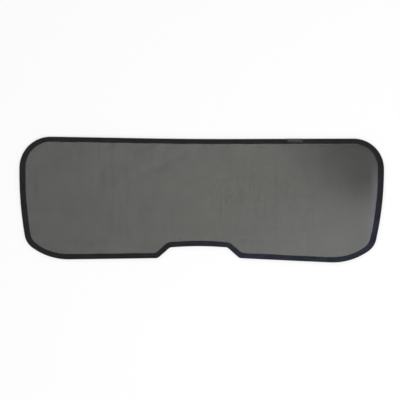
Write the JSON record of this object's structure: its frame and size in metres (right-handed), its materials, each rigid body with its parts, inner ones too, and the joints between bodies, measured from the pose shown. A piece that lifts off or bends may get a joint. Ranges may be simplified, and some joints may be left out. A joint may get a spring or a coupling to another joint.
{
  "type": "car window sunshade",
  "caption": "Mesh sunshade for a car window: knitted mesh held by a folded tape on a bent spring-wire frame, with a notch in the lower edge.",
  "frame": {"origin": "middle of the shade's outline, on the surface that it lies on", "axes": "+X to the right and +Y to the top edge, seen from the front; +Z out of the front face, with the shade lying flat on its back"},
  "size_m": [1.2, 0.4142, 0.0076],
  "materials": {
    "mesh": "matte knitted polyester mesh",
    "binding_tape": "matte woven polyester tape",
    "spring_wire": "drawn spring steel",
    "sleeve_metal": "plain drawn tube, crimped",
    "cover_tape": "satin woven tape"
  },
  "bodies": {
    "root": {"mesh_panel": "mesh", "edge_binding": "binding_tape", "wire_frame": "spring_wire", "wire_sleeve": "sleeve_metal", "joint_cover": "cover_tape"}
  },
  "joints": []
}
